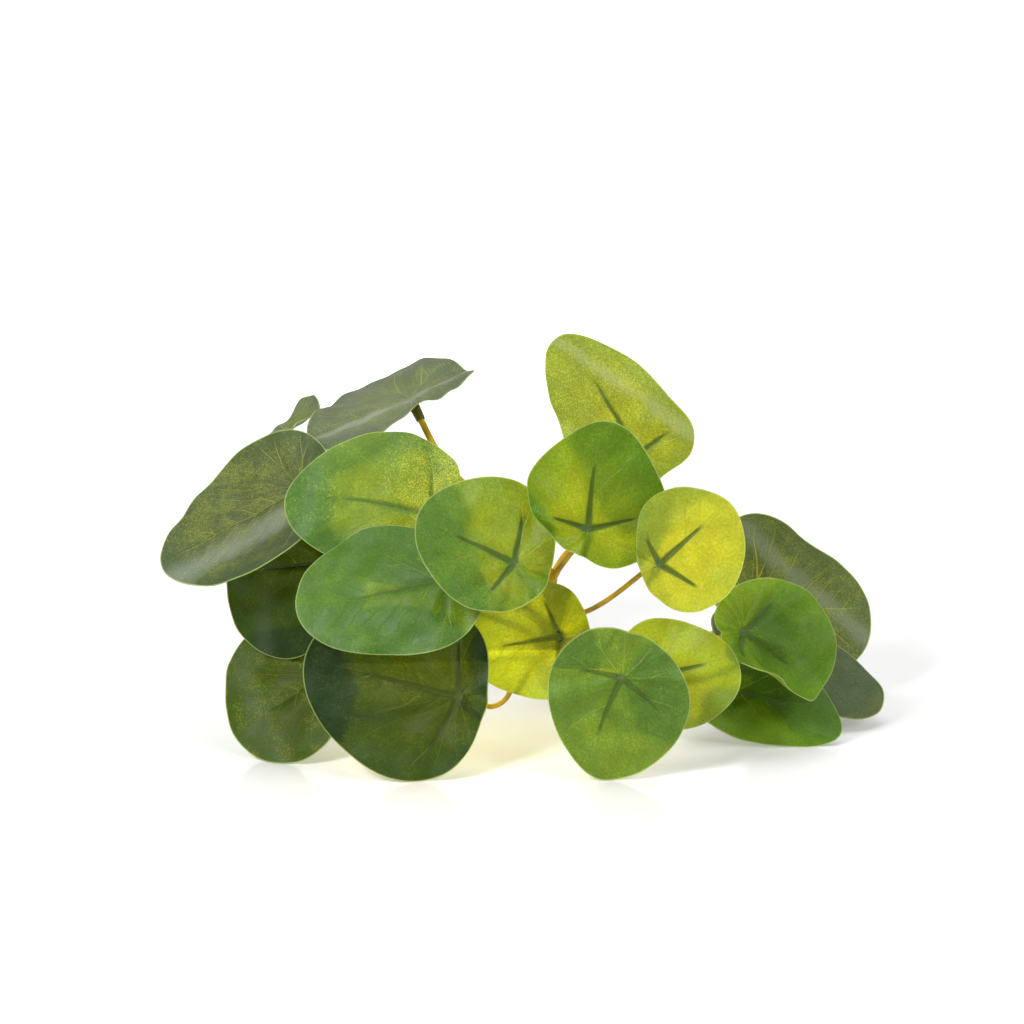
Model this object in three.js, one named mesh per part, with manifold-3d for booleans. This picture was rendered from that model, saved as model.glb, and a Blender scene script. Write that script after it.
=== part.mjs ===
// Artificial pilea spray without a pot: nineteen round leaves on wired petioles round one short main
// stem. It lies on a table, held up by the rims of its lower leaves and by the cut end of the main stem.
// Millimetres. +X to the viewer's right, +Y away from the viewer, +Z up. The table is z = 0, and the
// origin is on it, under the middle of the spray.
import * as THREE from "three";
import { mergeVertices } from "three/addons/utils/BufferGeometryUtils.js";
import Module from "manifold-3d";

const wasm = await Module();
wasm.setup();

// ---- driving dimensions ----

const MIDDLE = [3.5, -0.4, 0]; // the middle of the spray, in the axes that the places below are given in

const BLADE_THICK = 0.7; // printed cloth and its backing
const CLEARANCE = 0.35; // between two pieces that are glued or pushed together

const RIB_ANGLE = 75; // degrees between the middle rib and a side rib
const RIB_HALF_WIDTHS = [1.5, 1.1, 0.5]; // at the hub, half way and at the tip
const RIB_DEPTHS = [1.9, 1.4, 0.7];

const HUB_RADIUS = 3;
const HUB_LENGTH = 3;
const SOCKET_LENGTH = 9;
const SOCKET_TOP_RADIUS = 2.7;
const SOCKET_END_RADIUS = 2.3;
const SOCKET_SIDES = 8;
const SOCKET_START = 2.4; // under the cloth's middle
const SOCKET_LEAN = 0.7; // how far the socket leans towards the place that its petiole comes from
const BORE_DEPTH = 7;
const OVERRUN = 1; // how far a cut or a joined piece runs on past the face that it meets

const PETIOLE_RADIUS = 1.4;
const PETIOLE_ROOT_RADIUS = 2.3;
const PETIOLE_SIDES = 6;
const PETIOLE_STEPS = 10;
const PETIOLE_LEAD = 12; // straight run beside the socket and beside the main stem
const PETIOLE_RISE = 0.7; // how far a petiole follows the main stem before it turns away

const STEM_SIDES = 10;
const STEM_STEPS = 12;
const STEM_RADIUS = 2.9;
const STEM_ROUTE = [[30, 96, 3], [24, 74, 9], [14, 40, 26], [5, 4, 44], [5, -10, 54], [14, -14, 74]];

// Rings of a blade, as shares of the way from its hub to the rim. A rib reaches the second ring.
const BLADE_RINGS = [0.32, 0.62, 1];
const FRONT_SECTORS = 14; // between the two side ribs, over the tip
const BACK_SECTORS = 10; // between the two side ribs, round the base
const WAVE_HEIGHT = 1.3; // of the rim, above and below the blade
const WAVE_COUNT = 3; // round the rim

// One entry for each leaf. Its own axes are u along the middle rib, v to the left and n out of the upper
// side. at: where the ribs meet. tip: the way of u. face: the way of n. rim: distances from there to the
// rim, every 45 degrees from the tip round by the left. wings: degrees that the left and right halves
// curl up. arch: degrees that the base and the tip curl up. bow: how far the tip bends to the left.
// root: the petiole's root, as a share of the main stem from its cut end. via: a point that the petiole
// passes on its way, if it doesn't go straight.
const LEAVES = [
  { name: "01", tone: "olive", at: [-98, -18, 116], tip: [-0.84, 0, -0.5], face: [-0.5, -0.62, 0.6],
    rim: [71, 47, 31, 22, 16, 24, 36, 46], wings: [20, 10], arch: [0, 0], bow: 0,
    root: 0.9, via: [] },
  { name: "02", tone: "olive", at: [-111, 62, 127], tip: [-0.77, 0.05, -0.64], face: [-0.64, -0.03, 0.77],
    rim: [22, 26, 26, 24, 24, 22, 18, 18], wings: [50, 10], arch: [0, 0], bow: 0,
    root: 0.88, via: [] },
  { name: "03", tone: "olive", at: [-50, 32, 147], tip: [-0.94, -0.17, -0.31], face: [-0.29, -0.12, 0.95],
    rim: [54, 42, 20, 22, 32, 38, 44, 52], wings: [0, 0], arch: [0, 0], bow: 0,
    root: 0.98, via: [[-33, 12, 119]] },
  { name: "04", tone: "mid", at: [-39, -44, 109], tip: [-0.95, 0, 0.3], face: [-0.05, -0.8, 0.55],
    rim: [64, 42, 26, 22, 18, 13, 32, 47], wings: [-15, -15], arch: [0, 0], bow: 10,
    root: 0.97, via: [] },
  { name: "05", tone: "mid", at: [-32, -75, 88], tip: [-0.975, 0, -0.22], face: [-0.05, -0.8, 0.55],
    rim: [66, 41, 30, 20, 16, 16, 19, 37], wings: [-15, -15], arch: [0, 0], bow: 0,
    root: 0.95, via: [] },
  { name: "06", tone: "light", at: [-3, -85, 97], tip: [-0.9, 0, 0.44], face: [-0.05, -0.9, 0.42],
    rim: [46, 34, 25, 19, 16, 18, 28, 38], wings: [5, 5], arch: [0, 0], bow: 0,
    root: 0.97, via: [] },
  { name: "07", tone: "dark", at: [-86, -38, 86], tip: [-0.85, 0.5, -0.2], face: [-0.5, -0.8, 0.2],
    rim: [52, 51, 34, 24, 19, 16, 20, 34], wings: [0, 0], arch: [0, 0], bow: 0,
    root: 0.85, via: [] },
  { name: "08", tone: "olive", at: [-87, -42, 37.9], tip: [-0.8, 0, -0.6], face: [-0.25, -0.8, 0.55],
    rim: [50, 40, 20, 17, 16, 26, 34, 42], wings: [0, 0], arch: [0, 0], bow: 0,
    root: 0.8, via: [] },
  { name: "09", tone: "dark", at: [-27, -74, 35.2], tip: [-0.96, 0, 0.26], face: [0, -0.95, 0.25],
    rim: [67, 53, 36, 18, 13, 15, 32, 50], wings: [0, 0], arch: [0, 0], bow: 0,
    root: 0.8, via: [[-6, -47, 28], [-13, -60, 27]] },
  { name: "10", tone: "yellow", at: [17, -50, 56], tip: [-0.99, 0, -0.16], face: [-0.1, -0.98, 0.1],
    rim: [42, 32, 25, 16, 12, 15, 24, 34], wings: [0, 0], arch: [0, 0], bow: 0,
    root: 0.93, via: [] },
  { name: "11", tone: "light", at: [49, -44, 135], tip: [-0.38, 0.1, 0.92], face: [-0.6, -0.78, 0.05],
    rim: [60, 41, 30, 20, 15, 17, 30, 36], wings: [0, -20], arch: [0, 0], bow: 10,
    root: 1, via: [[21, -18, 87]] },
  { name: "12", tone: "light", at: [28, -91, 113], tip: [0.05, 0, 1], face: [0, -1, 0.15],
    rim: [48, 37, 22, 14, 13, 22, 32, 38], wings: [-25, -5], arch: [0, 0], bow: -4,
    root: 1, via: [[19, -34, 88]] },
  { name: "13", tone: "yellow", at: [58, -96, 99], tip: [0.72, 0, 0.69], face: [0.1, -1, 0.1],
    rim: [38, 32, 13, 10, 10, 17, 27, 35], wings: [0, 0], arch: [0, 0], bow: 0,
    root: 0.84, via: [[28, -34, 63], [39, -55, 78]] },
  { name: "14", tone: "yellow", at: [58, -60, 41], tip: [0.97, 0, 0.23], face: [0.1, -0.95, 0.25],
    rim: [38, 27, 25, 20, 15, 18, 24, 33], wings: [0, 0], arch: [0, 0], bow: 0,
    root: 0.82, via: [] },
  { name: "15", tone: "mid", at: [43, -82, 46], tip: [-0.45, 0, -0.89], face: [0, -1, 0],
    rim: [45, 40, 32, 22, 18, 21, 26, 34], wings: [0, 0], arch: [0, 0], bow: 6,
    root: 0.84, via: [[36, -38, 46]] },
  { name: "16", tone: "mid", at: [98, -38, 55], tip: [0.83, 0, -0.55], face: [0.15, -0.8, 0.55],
    rim: [46, 43, 30, 20, 14, 14, 24, 32], wings: [0, 110], arch: [0, 0], bow: -4,
    root: 0.76, via: [[58, -22, 43], [82, -26, 48]] },
  { name: "17", tone: "olive", at: [110, 42, 44], tip: [0.95, 0.2, 0], face: [0.15, -0.9, 0.35],
    rim: [56, 44, 47, 30, 17, 17, 30, 45], wings: [0, 0], arch: [0, 0], bow: 0,
    root: 0.72, via: [[61, 5, 33]] },
  { name: "18", tone: "dark", at: [108, 8, 37], tip: [0.89, -0.06, -0.45], face: [0.35, -0.55, 0.76],
    rim: [63, 50, 34, 26, 24, 18, 19, 24], wings: [0, 0], arch: [0, 0], bow: 0,
    root: 0.7, via: [[61, 0, 31]] },
  { name: "19", tone: "mid", at: [86, -20, 26.7], tip: [0.96, -0.02, -0.25], face: [0.1, -0.87, 0.45],
    rim: [59, 28, 20, 18, 16, 18, 18, 29], wings: [0, 0], arch: [0, 0], bow: 0,
    root: 0.68, via: [[54, -4, 30]] },
];

const TONES = { olive: 0x4c5c2c, dark: 0x33491f, mid: 0x5a8a3c, light: 0x86a83a, yellow: 0xb3b83a };
const RIB_COLOUR = 0x2f5138;
const STEM_COLOUR = 0xb8922a;
const CLOTH_ROUGHNESS = 0.5;
const PLASTIC_ROUGHNESS = 0.45;

// ---- solids ----

const radians = THREE.MathUtils.degToRad;
const wrap = THREE.MathUtils.euclideanModulo;

// A closed geometry as a manifold solid, and a manifold solid as a geometry.
function solid(shape) {
  shape.deleteAttribute("normal");
  shape.deleteAttribute("uv");
  const merged = mergeVertices(shape, 1e-4);
  return new wasm.Manifold(new wasm.Mesh({
    numProp: 3,
    vertProperties: merged.attributes.position.array,
    triVerts: new Uint32Array(merged.index.array),
  }));
}

function geometry(body) {
  const made = body.getMesh();
  const result = new THREE.BufferGeometry();
  result.setAttribute("position", new THREE.BufferAttribute(made.vertProperties, 3));
  result.setIndex(new THREE.BufferAttribute(made.triVerts, 1));
  return result;
}

// A closed surface from its points and from triangles that name them by number.
function surface(points, triangles) {
  const result = new THREE.BufferGeometry().setFromPoints(points);
  result.setIndex(triangles.flat());
  return solid(result);
}

// Rings of points, all of one count, skinned in order and closed with a flat cap at each end.
function skin(rings) {
  const count = rings[0].length;
  const triangles = [];
  for (let r = 0; r + 1 < rings.length; r++)
    for (let i = 0; i < count; i++) {
      const a = r * count + i;
      const b = r * count + ((i + 1) % count);
      triangles.push([a, b, b + count], [a, b + count, a + count]);
    }
  const last = (rings.length - 1) * count;
  for (let i = 1; i + 1 < count; i++) triangles.push([0, i + 1, i], [last, last + i, last + i + 1]);
  return surface(rings.flat(), triangles);
}

// A round tube of one radius along a curve.
function tube(curve, radius, sides, steps) {
  const circle = new THREE.EllipseCurve(0, 0, radius, radius, 0, 2 * Math.PI);
  const section = new THREE.Shape(circle.getPoints(sides).slice(0, sides));
  return solid(new THREE.ExtrudeGeometry(section, { steps, extrudePath: curve, bevelEnabled: false }));
}

// A round peg that tapers from its start to its end.
function peg(start, direction, length, startRadius, endRadius, sides) {
  const shape = new THREE.CylinderGeometry(endRadius, startRadius, length, sides);
  shape.translate(0, length / 2, 0);
  shape.applyQuaternion(new THREE.Quaternion().setFromUnitVectors(new THREE.Vector3(0, 1, 0), direction));
  shape.translate(start.x, start.y, start.z);
  return solid(shape);
}

// ---- one leaf, in its own axes ----

// Distance from the ribs' meeting point to the rim, smooth between the leaf's eight measured distances.
function rimRadius(leaf, angle) {
  const count = leaf.rim.length;
  const place = wrap((angle * count) / (2 * Math.PI), count);
  const i = Math.floor(place);
  const t = place - i;
  const [p, a, b, q] = [-1, 0, 1, 2].map((k) => leaf.rim[wrap(i + k, count)]);
  return a + 0.5 * t * (b - p + t * (2 * p - 5 * a + 4 * b - q + t * (3 * (a - b) + q - p)));
}

// A point at a distance along an arc of the given curvature, and at a height above it.
function curl(along, height, curvature) {
  if (Math.abs(curvature) < 1e-6) return [along, height];
  const radius = 1 / curvature;
  const turn = along / radius;
  return [(radius - height) * Math.sin(turn), radius - (radius - height) * Math.cos(turn)];
}

// The point at a share of the way to the rim, an angle from the middle rib and a height above the
// cloth's middle.
function bladePoint(leaf, share, angle, height) {
  const distance = share * rimRadius(leaf, angle);
  const across = distance * Math.sin(angle);
  const along = distance * Math.cos(angle);
  const wing = across > 0 ? radians(leaf.wings[0]) / leaf.rim[2] : radians(leaf.wings[1]) / leaf.rim[6];
  const bend = along > 0 ? radians(leaf.arch[1]) / leaf.rim[0] : radians(leaf.arch[0]) / leaf.rim[4];
  const aside = along > 0 ? leaf.bow * (along / leaf.rim[0]) ** 2 : 0;
  const wave = WAVE_HEIGHT * share * share * Math.sin(WAVE_COUNT * angle + Number(leaf.name));
  const [v, lift] = curl(across, height + wave, wing);
  const [u, n] = curl(along, lift, bend);
  return new THREE.Vector3(u, v + aside, n);
}

// The angles of the blade's radial lines. The ribs lie on three of them.
const SIDE = radians(RIB_ANGLE);
const BLADE_ANGLES = [
  ...Array.from({ length: FRONT_SECTORS }, (_, i) => -SIDE + (2 * SIDE * i) / FRONT_SECTORS),
  ...Array.from({ length: BACK_SECTORS }, (_, i) => SIDE + (2 * (Math.PI - SIDE) * i) / BACK_SECTORS),
];
const RIB_LINES = [0, FRONT_SECTORS / 2, FRONT_SECTORS];

// The blade: the same triangles on both faces, joined round the rim.
function bladeSolid(leaf) {
  const count = BLADE_ANGLES.length;
  const face = (height) => [
    bladePoint(leaf, 0, 0, height),
    ...BLADE_RINGS.flatMap((share) => BLADE_ANGLES.map((angle) => bladePoint(leaf, share, angle, height))),
  ];
  const points = [...face(BLADE_THICK / 2), ...face(-BLADE_THICK / 2)];
  const under = points.length / 2;
  const triangles = [];
  const both = (a, b, c) => triangles.push([a, b, c], [under + a, under + c, under + b]);
  for (let i = 0; i < count; i++) {
    const next = (i + 1) % count;
    both(0, 1 + i, 1 + next);
    for (let inner = 1; inner + count < under; inner += count) {
      both(inner + i, inner + count + i, inner + count + next);
      both(inner + i, inner + count + next, inner + next);
    }
    const a = under - count + i;
    const b = under - count + next;
    triangles.push([a, under + a, under + b], [a, under + b, b]);
  }
  return surface(points, triangles);
}

// One moulded rib under the blade along a radial line: a keel that thins towards its tip.
function ribSolid(leaf, line) {
  const count = BLADE_ANGLES.length;
  const top = -(BLADE_THICK / 2 + CLEARANCE);
  const rings = RIB_DEPTHS.map((depth, r) => {
    const share = r ? BLADE_RINGS[r - 1] : 0;
    const angle = (other) => BLADE_ANGLES[wrap(line + other, count)];
    const at = (place, other, height) => bladePoint(leaf, place, angle(other), height);
    const edge = (other) => {
      const place = share || BLADE_RINGS[0];
      const aside = at(place, other, top).sub(at(place, 0, top));
      return aside.setLength(RIB_HALF_WIDTHS[r]).add(at(share, 0, top));
    };
    return [edge(1), at(share, 0, top), edge(-1), at(share, 0, top - depth)];
  });
  return skin(rings);
}

// The way the socket points: down from the blade, leaning towards the place that its petiole comes from.
const DOWN = new THREE.Vector3(0, 0, -1);
const socketStart = DOWN.clone().multiplyScalar(SOCKET_START);

function neckOf(from) {
  return new THREE.Vector3(from.x, from.y, 0).setLength(SOCKET_LEAN).add(DOWN).normalize();
}

// The hub and the socket, with the bore that the petiole is pushed into.
function socketSolid(neck) {
  const hubStart = DOWN.clone().multiplyScalar(BLADE_THICK / 2 + CLEARANCE);
  const hub = peg(hubStart, DOWN, HUB_LENGTH, HUB_RADIUS, HUB_RADIUS, SOCKET_SIDES);
  const socket = peg(socketStart, neck, SOCKET_LENGTH, SOCKET_TOP_RADIUS, SOCKET_END_RADIUS, SOCKET_SIDES);
  const boreRadius = PETIOLE_RADIUS + CLEARANCE;
  const boreStart = socketStart.clone().addScaledVector(neck, SOCKET_LENGTH - BORE_DEPTH);
  const bore = peg(boreStart, neck, BORE_DEPTH + OVERRUN, boreRadius, boreRadius, SOCKET_SIDES);
  return hub.add(socket).subtract(bore);
}

// ---- stem and petioles, in the spray's axes ----

const stemCurve = new THREE.CatmullRomCurve3(STEM_ROUTE.map((p) => new THREE.Vector3(...p)));

// A petiole from the main stem to its leaf's bore, thicker at its root and straight in the bore.
function petioleSolid(leaf, places, end, neck) {
  const [root, ...others] = places;
  const mouth = end.clone().addScaledVector(neck, BORE_DEPTH);
  const leave = (others[0] ?? mouth).clone().sub(root).normalize();
  leave.addScaledVector(stemCurve.getTangentAt(leaf.root), PETIOLE_RISE).normalize();
  const curve = new THREE.CatmullRomCurve3([
    root,
    root.clone().addScaledVector(leave, PETIOLE_LEAD),
    ...others,
    mouth.clone().addScaledVector(neck, PETIOLE_LEAD),
    mouth,
  ]);
  const foot = peg(root, leave, PETIOLE_LEAD, PETIOLE_ROOT_RADIUS, PETIOLE_RADIUS, PETIOLE_SIDES);
  const tongue = peg(end, neck, BORE_DEPTH + OVERRUN, PETIOLE_RADIUS, PETIOLE_RADIUS, PETIOLE_SIDES);
  return tube(curve, PETIOLE_RADIUS, PETIOLE_SIDES, PETIOLE_STEPS).add(foot).add(tongue);
}

// ---- assembly ----

function piece(name, body, colour, roughness) {
  const material = new THREE.MeshStandardMaterial({ color: colour, roughness, metalness: 0 });
  const mesh = new THREE.Mesh(geometry(body), material);
  mesh.name = name;
  return mesh;
}

// A leaf's group stands where its ribs meet, turned so that its axes are u, v and n.
function leafGroup(leaf) {
  const group = new THREE.Group();
  const u = new THREE.Vector3(...leaf.tip).normalize();
  const v = new THREE.Vector3(...leaf.face).cross(u).normalize();
  group.position.set(...leaf.at);
  group.quaternion.setFromRotationMatrix(new THREE.Matrix4().makeBasis(u, v, u.clone().cross(v)));
  group.updateMatrixWorld();
  return group;
}

const spray = new THREE.Group();
let stem = tube(stemCurve, STEM_RADIUS, STEM_SIDES, STEM_STEPS);
for (const leaf of LEAVES) {
  const group = leafGroup(leaf);
  const places = [stemCurve.getPointAt(leaf.root), ...leaf.via.map((place) => new THREE.Vector3(...place))];
  const neck = neckOf(group.worldToLocal(places.at(-1).clone()));
  const end = socketStart.clone().addScaledVector(neck, SOCKET_LENGTH - BORE_DEPTH + CLEARANCE);
  const way = neck.clone().applyQuaternion(group.quaternion);
  stem = stem.add(petioleSolid(leaf, places, group.localToWorld(end), way));
  const ribs = RIB_LINES.reduce((made, line) => made.add(ribSolid(leaf, line)), socketSolid(neck));
  group.add(piece("leaf_" + leaf.name, bladeSolid(leaf), TONES[leaf.tone], CLOTH_ROUGHNESS));
  group.add(piece("rib_" + leaf.name, ribs, RIB_COLOUR, PLASTIC_ROUGHNESS));
  spray.add(group);
}
spray.add(piece("stem", stem, STEM_COLOUR, PLASTIC_ROUGHNESS));
spray.position.set(...MIDDLE).negate();

export default spray;
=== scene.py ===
# An artificial pilea spray without a pot: printed cloth leaves on ochre petioles, lying on a white table.
import math
import bpy
import numpy as np
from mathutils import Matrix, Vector


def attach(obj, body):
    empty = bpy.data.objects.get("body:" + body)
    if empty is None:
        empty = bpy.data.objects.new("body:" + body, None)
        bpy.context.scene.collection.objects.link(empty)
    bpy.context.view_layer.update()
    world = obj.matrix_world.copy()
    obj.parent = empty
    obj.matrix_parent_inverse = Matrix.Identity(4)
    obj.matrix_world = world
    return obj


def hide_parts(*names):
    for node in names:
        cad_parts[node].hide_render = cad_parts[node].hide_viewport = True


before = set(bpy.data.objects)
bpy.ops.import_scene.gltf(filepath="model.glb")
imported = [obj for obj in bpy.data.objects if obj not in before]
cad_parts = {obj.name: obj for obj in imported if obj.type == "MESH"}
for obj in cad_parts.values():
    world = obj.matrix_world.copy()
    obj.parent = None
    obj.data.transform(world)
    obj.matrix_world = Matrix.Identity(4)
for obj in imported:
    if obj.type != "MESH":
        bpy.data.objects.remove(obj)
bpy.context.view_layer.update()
bpy.ops.object.select_all(action="DESELECT")

mm = 0.001  # the tables below are in millimetres
middle = Vector((3.5, -0.4, 0))  # middle of the spray, in the axes of the tables
smoothBelow = math.radians(50)  # edges that are sharper than this stay sharp

# at: where the ribs meet. tip: the way of the middle rib. face: the way of the upper side.
# rim: distances from there to the rim, every 45 degrees from the tip round by the left.
# wings: degrees that the left and right halves curl up. bow: how far the tip bends to the left.
# root: the petiole's root, as a share of the main stem. via: what the petiole passes on its way.
# Leaves 02 and 16 curl up less here than their solids do.
leaves = {
    "01": {"at": (-98, -18, 116), "tip": (-0.84, 0, -0.5), "face": (-0.5, -0.62, 0.6),
           "rim": (71, 47, 31, 22, 16, 24, 36, 46), "wings": (20, 10), "bow": 0,
           "root": 0.9, "via": []},
    "02": {"at": (-111, 62, 127), "tip": (-0.77, 0.05, -0.64), "face": (-0.64, -0.03, 0.77),
           "rim": (22, 26, 26, 24, 24, 22, 18, 18), "wings": (-8, 10), "bow": 0,
           "root": 0.88, "via": []},
    "03": {"at": (-50, 32, 147), "tip": (-0.94, -0.17, -0.31), "face": (-0.29, -0.12, 0.95),
           "rim": (54, 42, 20, 22, 32, 38, 44, 52), "wings": (0, 0), "bow": 0,
           "root": 0.98, "via": [(-33, 12, 119)]},
    "04": {"at": (-39, -44, 109), "tip": (-0.95, 0, 0.3), "face": (-0.05, -0.8, 0.55),
           "rim": (64, 42, 26, 22, 18, 13, 32, 47), "wings": (-15, -15), "bow": 10,
           "root": 0.97, "via": []},
    "05": {"at": (-32, -75, 88), "tip": (-0.975, 0, -0.22), "face": (-0.05, -0.8, 0.55),
           "rim": (66, 41, 30, 20, 16, 16, 19, 37), "wings": (-15, -15), "bow": 0,
           "root": 0.95, "via": []},
    "06": {"at": (-3, -85, 97), "tip": (-0.9, 0, 0.44), "face": (-0.05, -0.9, 0.42),
           "rim": (46, 34, 25, 19, 16, 18, 28, 38), "wings": (5, 5), "bow": 0,
           "root": 0.97, "via": []},
    "07": {"at": (-86, -38, 86), "tip": (-0.85, 0.5, -0.2), "face": (-0.5, -0.8, 0.2),
           "rim": (52, 51, 34, 24, 19, 16, 20, 34), "wings": (0, 0), "bow": 0,
           "root": 0.85, "via": []},
    "08": {"at": (-87, -42, 37.9), "tip": (-0.8, 0, -0.6), "face": (-0.25, -0.8, 0.55),
           "rim": (50, 40, 20, 17, 16, 26, 34, 42), "wings": (0, 0), "bow": 0,
           "root": 0.8, "via": []},
    "09": {"at": (-27, -74, 35.2), "tip": (-0.96, 0, 0.26), "face": (0, -0.95, 0.25),
           "rim": (67, 53, 36, 18, 13, 15, 32, 50), "wings": (0, 0), "bow": 0,
           "root": 0.8, "via": [(-6, -47, 28), (-13, -60, 27)]},
    "10": {"at": (17, -50, 56), "tip": (-0.99, 0, -0.16), "face": (-0.1, -0.98, 0.1),
           "rim": (42, 32, 25, 16, 12, 15, 24, 34), "wings": (0, 0), "bow": 0,
           "root": 0.93, "via": []},
    "11": {"at": (49, -44, 135), "tip": (-0.38, 0.1, 0.92), "face": (-0.6, -0.78, 0.05),
           "rim": (60, 41, 30, 20, 15, 17, 30, 36), "wings": (0, -20), "bow": 10,
           "root": 1, "via": [(21, -18, 87)]},
    "12": {"at": (28, -91, 113), "tip": (0.05, 0, 1), "face": (0, -1, 0.15),
           "rim": (48, 37, 22, 14, 13, 22, 32, 38), "wings": (-25, -5), "bow": -4,
           "root": 1, "via": [(19, -34, 88)]},
    "13": {"at": (58, -96, 99), "tip": (0.72, 0, 0.69), "face": (0.1, -1, 0.1),
           "rim": (38, 32, 13, 10, 10, 17, 27, 35), "wings": (0, 0), "bow": 0,
           "root": 0.84, "via": [(28, -34, 63), (39, -55, 78)]},
    "14": {"at": (58, -60, 41), "tip": (0.97, 0, 0.23), "face": (0.1, -0.95, 0.25),
           "rim": (38, 27, 25, 20, 15, 18, 24, 33), "wings": (0, 0), "bow": 0,
           "root": 0.82, "via": []},
    "15": {"at": (43, -82, 46), "tip": (-0.45, 0, -0.89), "face": (0, -1, 0),
           "rim": (45, 40, 32, 22, 18, 21, 26, 34), "wings": (0, 0), "bow": 6,
           "root": 0.84, "via": [(36, -38, 46)]},
    "16": {"at": (98, -38, 55), "tip": (0.83, 0, -0.55), "face": (0.15, -0.8, 0.55),
           "rim": (46, 43, 30, 20, 14, 14, 24, 32), "wings": (0, 78), "bow": -4,
           "root": 0.76, "via": [(58, -22, 43), (82, -26, 48)]},
    "17": {"at": (110, 42, 44), "tip": (0.95, 0.2, 0), "face": (0.15, -0.9, 0.35),
           "rim": (56, 44, 47, 30, 17, 17, 30, 45), "wings": (0, 0), "bow": 0,
           "root": 0.72, "via": [(61, 5, 33)]},
    "18": {"at": (108, 8, 37), "tip": (0.89, -0.06, -0.45), "face": (0.35, -0.55, 0.76),
           "rim": (63, 50, 34, 26, 24, 18, 19, 24), "wings": (0, 0), "bow": 0,
           "root": 0.7, "via": [(61, 0, 31)]},
    "19": {"at": (86, -20, 26.7), "tip": (0.96, -0.02, -0.25), "face": (0.1, -0.87, 0.45),
           "rim": (59, 28, 20, 18, 16, 18, 18, 29), "wings": (0, 0), "bow": 0,
           "root": 0.68, "via": [(54, -4, 30)]},
}

blade = {"thickness": 0.45, "rings": 36, "sectors": 160, "wave": 1.3,  # wave: rise and fall of the rim
         "sideRibs": 75, "ribReach": 0.62}  # degrees from the middle rib; share of the way to the rim

# finer outline: millimetres added to the rim, at places counted in sixteenths of a turn from the tip
trims = {
    "01": {0: 1, 0.5: 0.5, 1: 1, 1.5: 6, 2: 10.5, 2.5: 10.5, 3: 8, 4: 3, 6: 0, 9: 0, 10: -1, 11: -0.7,
           12: -3, 13: -1.6, 13.5: 1, 14: 0.7, 14.5: -4, 15: -4.6, 15.5: -2},
    "02": {1: 0, 3: -4, 4: -6, 5: -4, 6: -3, 7: -4, 8: -3, 9: -1, 10: 0},
    "03": {0: -4, 0.5: 0, 1: 6, 2: 8, 3: 3, 4: 0, 6: 0, 7: -1.5, 8: 0, 9: -4, 10: -2, 11: 0, 13: 0,
           14: -3, 15: -6},
    "04": {0: -0.5, 1: 0, 14: 0, 14.5: -1.5, 15: -3, 15.5: -2.5},
    "05": {0: 0, 1: -1.2, 2: -1, 3: -1.7, 4: -2.5, 5: -1.5, 6: 0, 10: 0, 12: 3, 13: 5.4, 14: 9, 15: 6.4,
           15.5: 1.5},
    "06": {0: 0, 1: -1, 2: 0, 3: -0.5, 4: -2, 5: -1.7, 6: -1, 7: 0, 10: 0.8, 11: 0, 13: 1.8, 14: 0.8,
           15: 0},
    "07": {0: 0, 1: 2, 2: 1.5, 3: 0, 12: 0, 13: -2.5, 14: -1, 15: 0},
    "08": {0: -1, 1: 0.5, 2: 0.5, 3: 0, 10: 0, 12: 3, 13: 5, 14: 6.2, 15: 0},
    "09": {0: 1.8, 1: -0.5, 2: -1, 3: 0.1, 4: -0.2, 5: -2, 6: -1.2, 7: -0.8, 8: 0, 10: 0, 11: -1.5,
           12: -0.8, 13: 0},
    "10": {7: 0, 8: 1.5, 10: 1.5, 11: 2, 12: 0},
    "11": {0: 1, 1: -0.5, 2: -0.8, 2.5: -3.5, 3: -4, 4: -2, 5: 0, 9: 0, 10: -0.8, 11: 0, 12: -0.4,
           13: -0.8, 14: 0.3, 14.5: -0.8, 15: -2.3, 15.5: -1},
    "12": {0: -0.5, 0.5: -3, 1: -4, 1.5: -2.5, 2: -1, 3: -0.5, 4: -1.7, 5: -1.8, 6: -1, 7: -1, 8: 0,
           9: 0.6, 11: 0, 13: 0, 14: -1, 15: -2},
    "13": {0: 1.8, 1: -0.3, 2: -1, 3: 0.8, 4: 1.5, 5: 0.4, 6: -1, 8: -0.6, 9: -0.9, 10: -1.6, 11: -1,
           12: 0, 15: 0.3},
    "14": {0: -1.7, 0.5: -2, 1: -1.5, 2: 0.4, 3: -0.3, 4: -0.8, 5: -1, 6: 0, 12: 0, 13: -0.7, 14: -0.5,
           15: 0.8},
    "15": {0: -0.6, 0.5: 0.1, 1: -1.1, 2: -0.4, 3: 0, 4: 0.6, 5: 1, 6: 1.6, 7: 1.8, 8: 2.6, 10: 2.4,
           11: 3.2, 12: 2.8, 13: 1.6, 14: 0.6, 15: -1.3, 15.5: -2.5},
    "16": {0: -4, 0.5: -1.5, 1: 1, 2: 0, 3: -0.8, 4: -1, 5: -0.8, 6: 0, 8: 1, 10: 1, 11: 0, 12: -1,
           13: 1.5, 14: 0, 14.5: -2, 15: -2, 15.5: 0},
    "17": {0: -0.5, 1: -1.8, 2: -1.2, 2.5: -1.5, 3: -0.9, 4: -0.2, 5: 0, 14: 0, 15: 3.3, 15.5: 1.5},
    "18": {0: 1.5, 0.5: -2.5, 1: -8, 2: -8, 3: -3, 4: 0, 15: 0, 15.5: 3},
    "19": {0: -2, 0.5: -6, 1: -3, 2: 0, 13: 0, 14: 2.2, 15: 0.4, 15.3: 4, 15.6: 9},
}

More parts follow.
